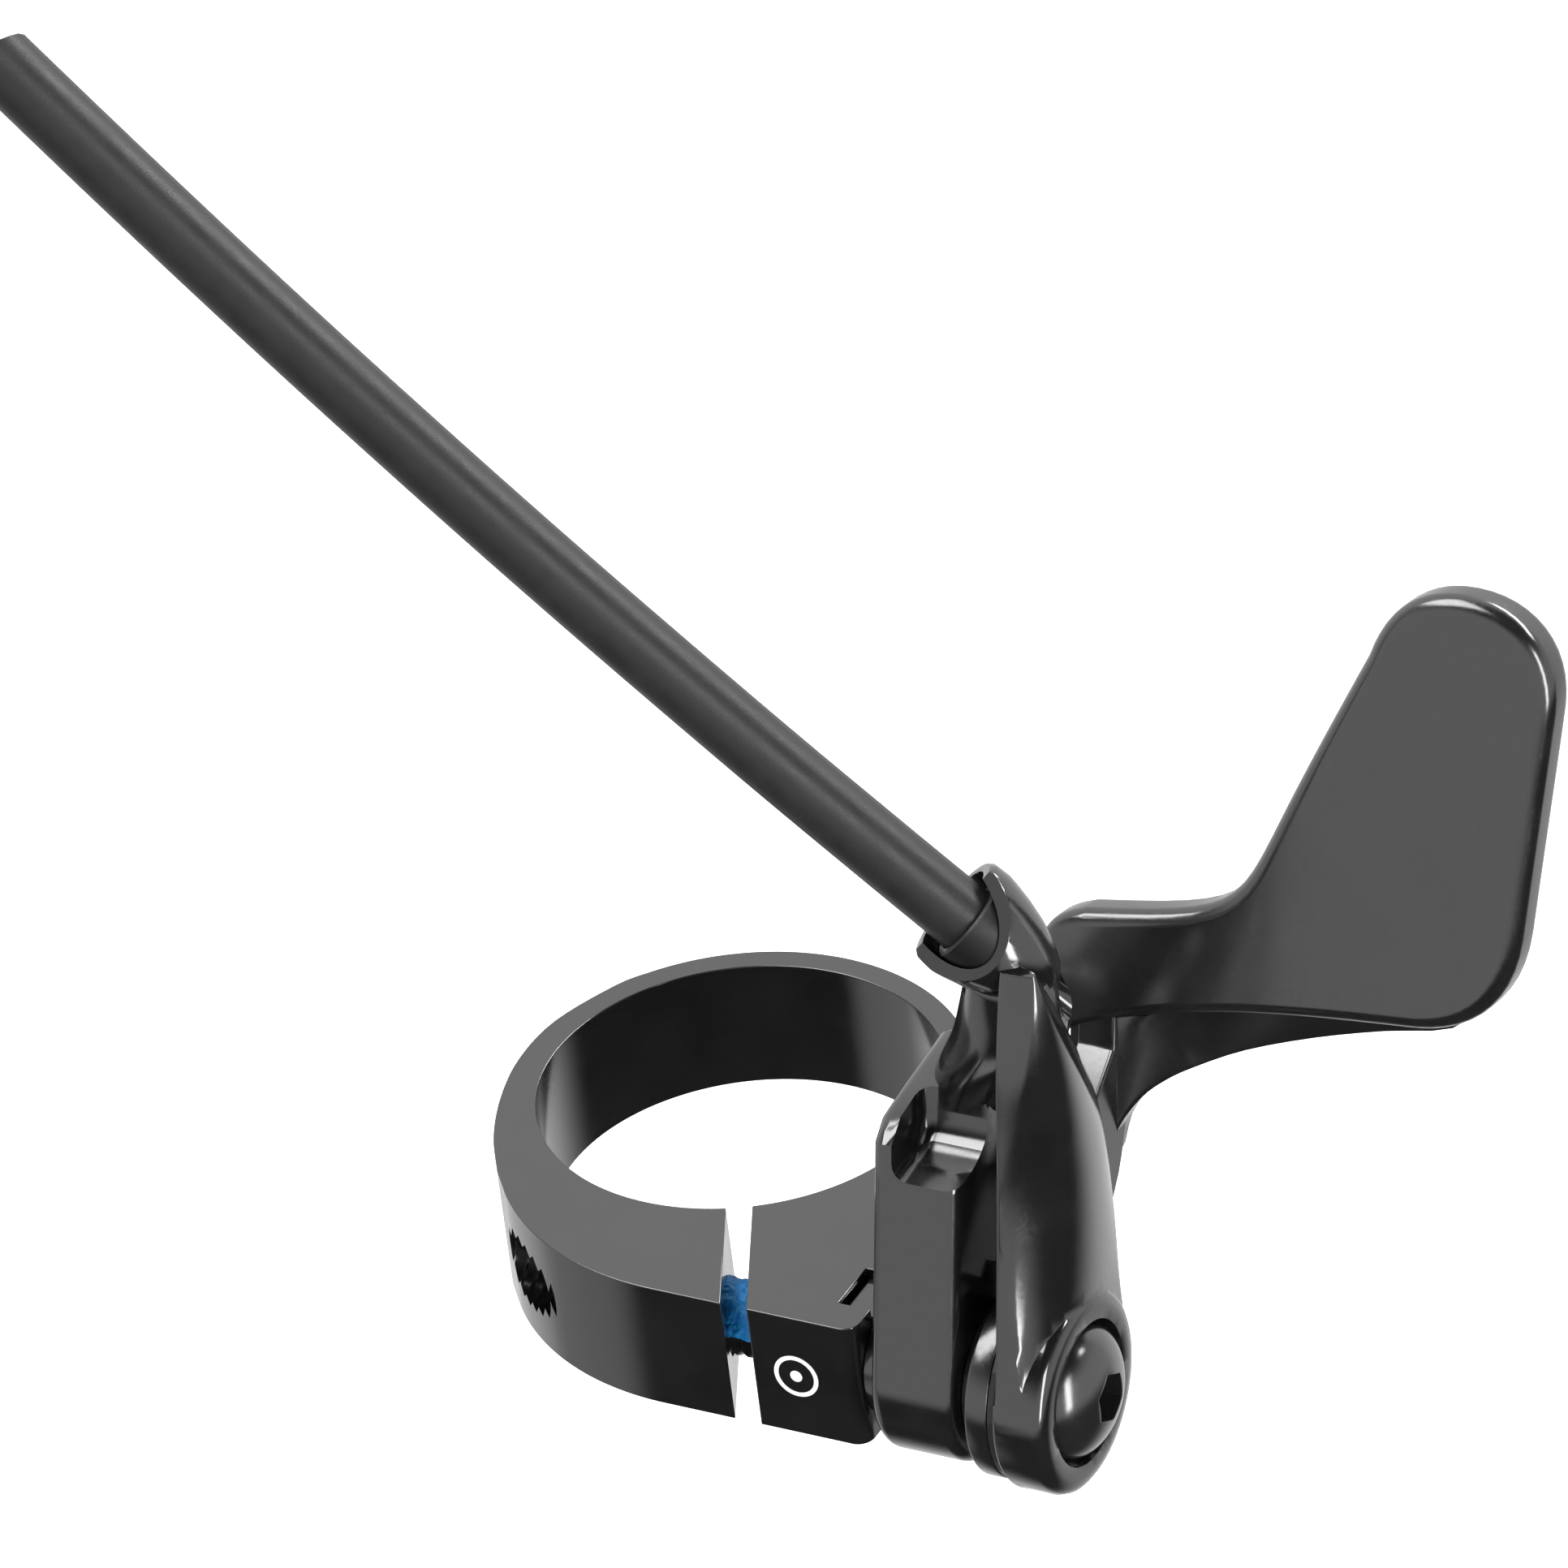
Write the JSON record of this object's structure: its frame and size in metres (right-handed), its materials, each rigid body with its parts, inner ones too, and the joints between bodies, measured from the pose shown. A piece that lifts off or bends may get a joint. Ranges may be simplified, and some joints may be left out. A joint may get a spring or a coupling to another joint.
{
  "type": "thumb shifter",
  "caption": "Handlebar thumb lever on a split clamp band, with a forged bracket whose hood holds the cable housing; the lever pulls the cable as it swings.",
  "frame": {"origin": "centre of the handlebar bore at half the height of the clamp band", "axes": "+Z along the handlebar, +X along the clamp bolt towards its head, +Y the way the thumb pushes the paddle"},
  "size_m": [0.0754, 0.0332, 0.083],
  "materials": {
    "anodised_band": "gloss black anodised",
    "anodised_bracket": "gloss black anodised",
    "anodised_lever": "gloss black anodised",
    "black_steel": "black oxide",
    "blue_adhesive": "dry thread adhesive",
    "bronze": "plain bearing bronze",
    "slick_plastic": "satin acetal",
    "ferrule_plastic": "satin black",
    "housing_jacket": "satin black"
  },
  "bodies": {
    "mounting": {"clamp_band": "anodised_band", "pivot_bolt": "black_steel", "thread_lock_patch": "blue_adhesive", "bracket": "anodised_bracket", "pivot_sleeve": "bronze", "hub_spacer": "slick_plastic", "thrust_washer": "slick_plastic", "housing_ferrule": "ferrule_plastic", "cable_housing": "housing_jacket"},
    "lever": {"thumb_lever": "anodised_lever", "lever_bush": "bronze", "anchor_washer": "black_steel", "anchor_screw": "black_steel"}
  },
  "joints": [
    {"name": "lever_swing", "type": "hinge", "parent": "mounting", "child": "lever", "pos_m": [0, -0.0143, 0], "axis": [-1, 0, 0], "range_deg": [0, 35]}
  ]
}
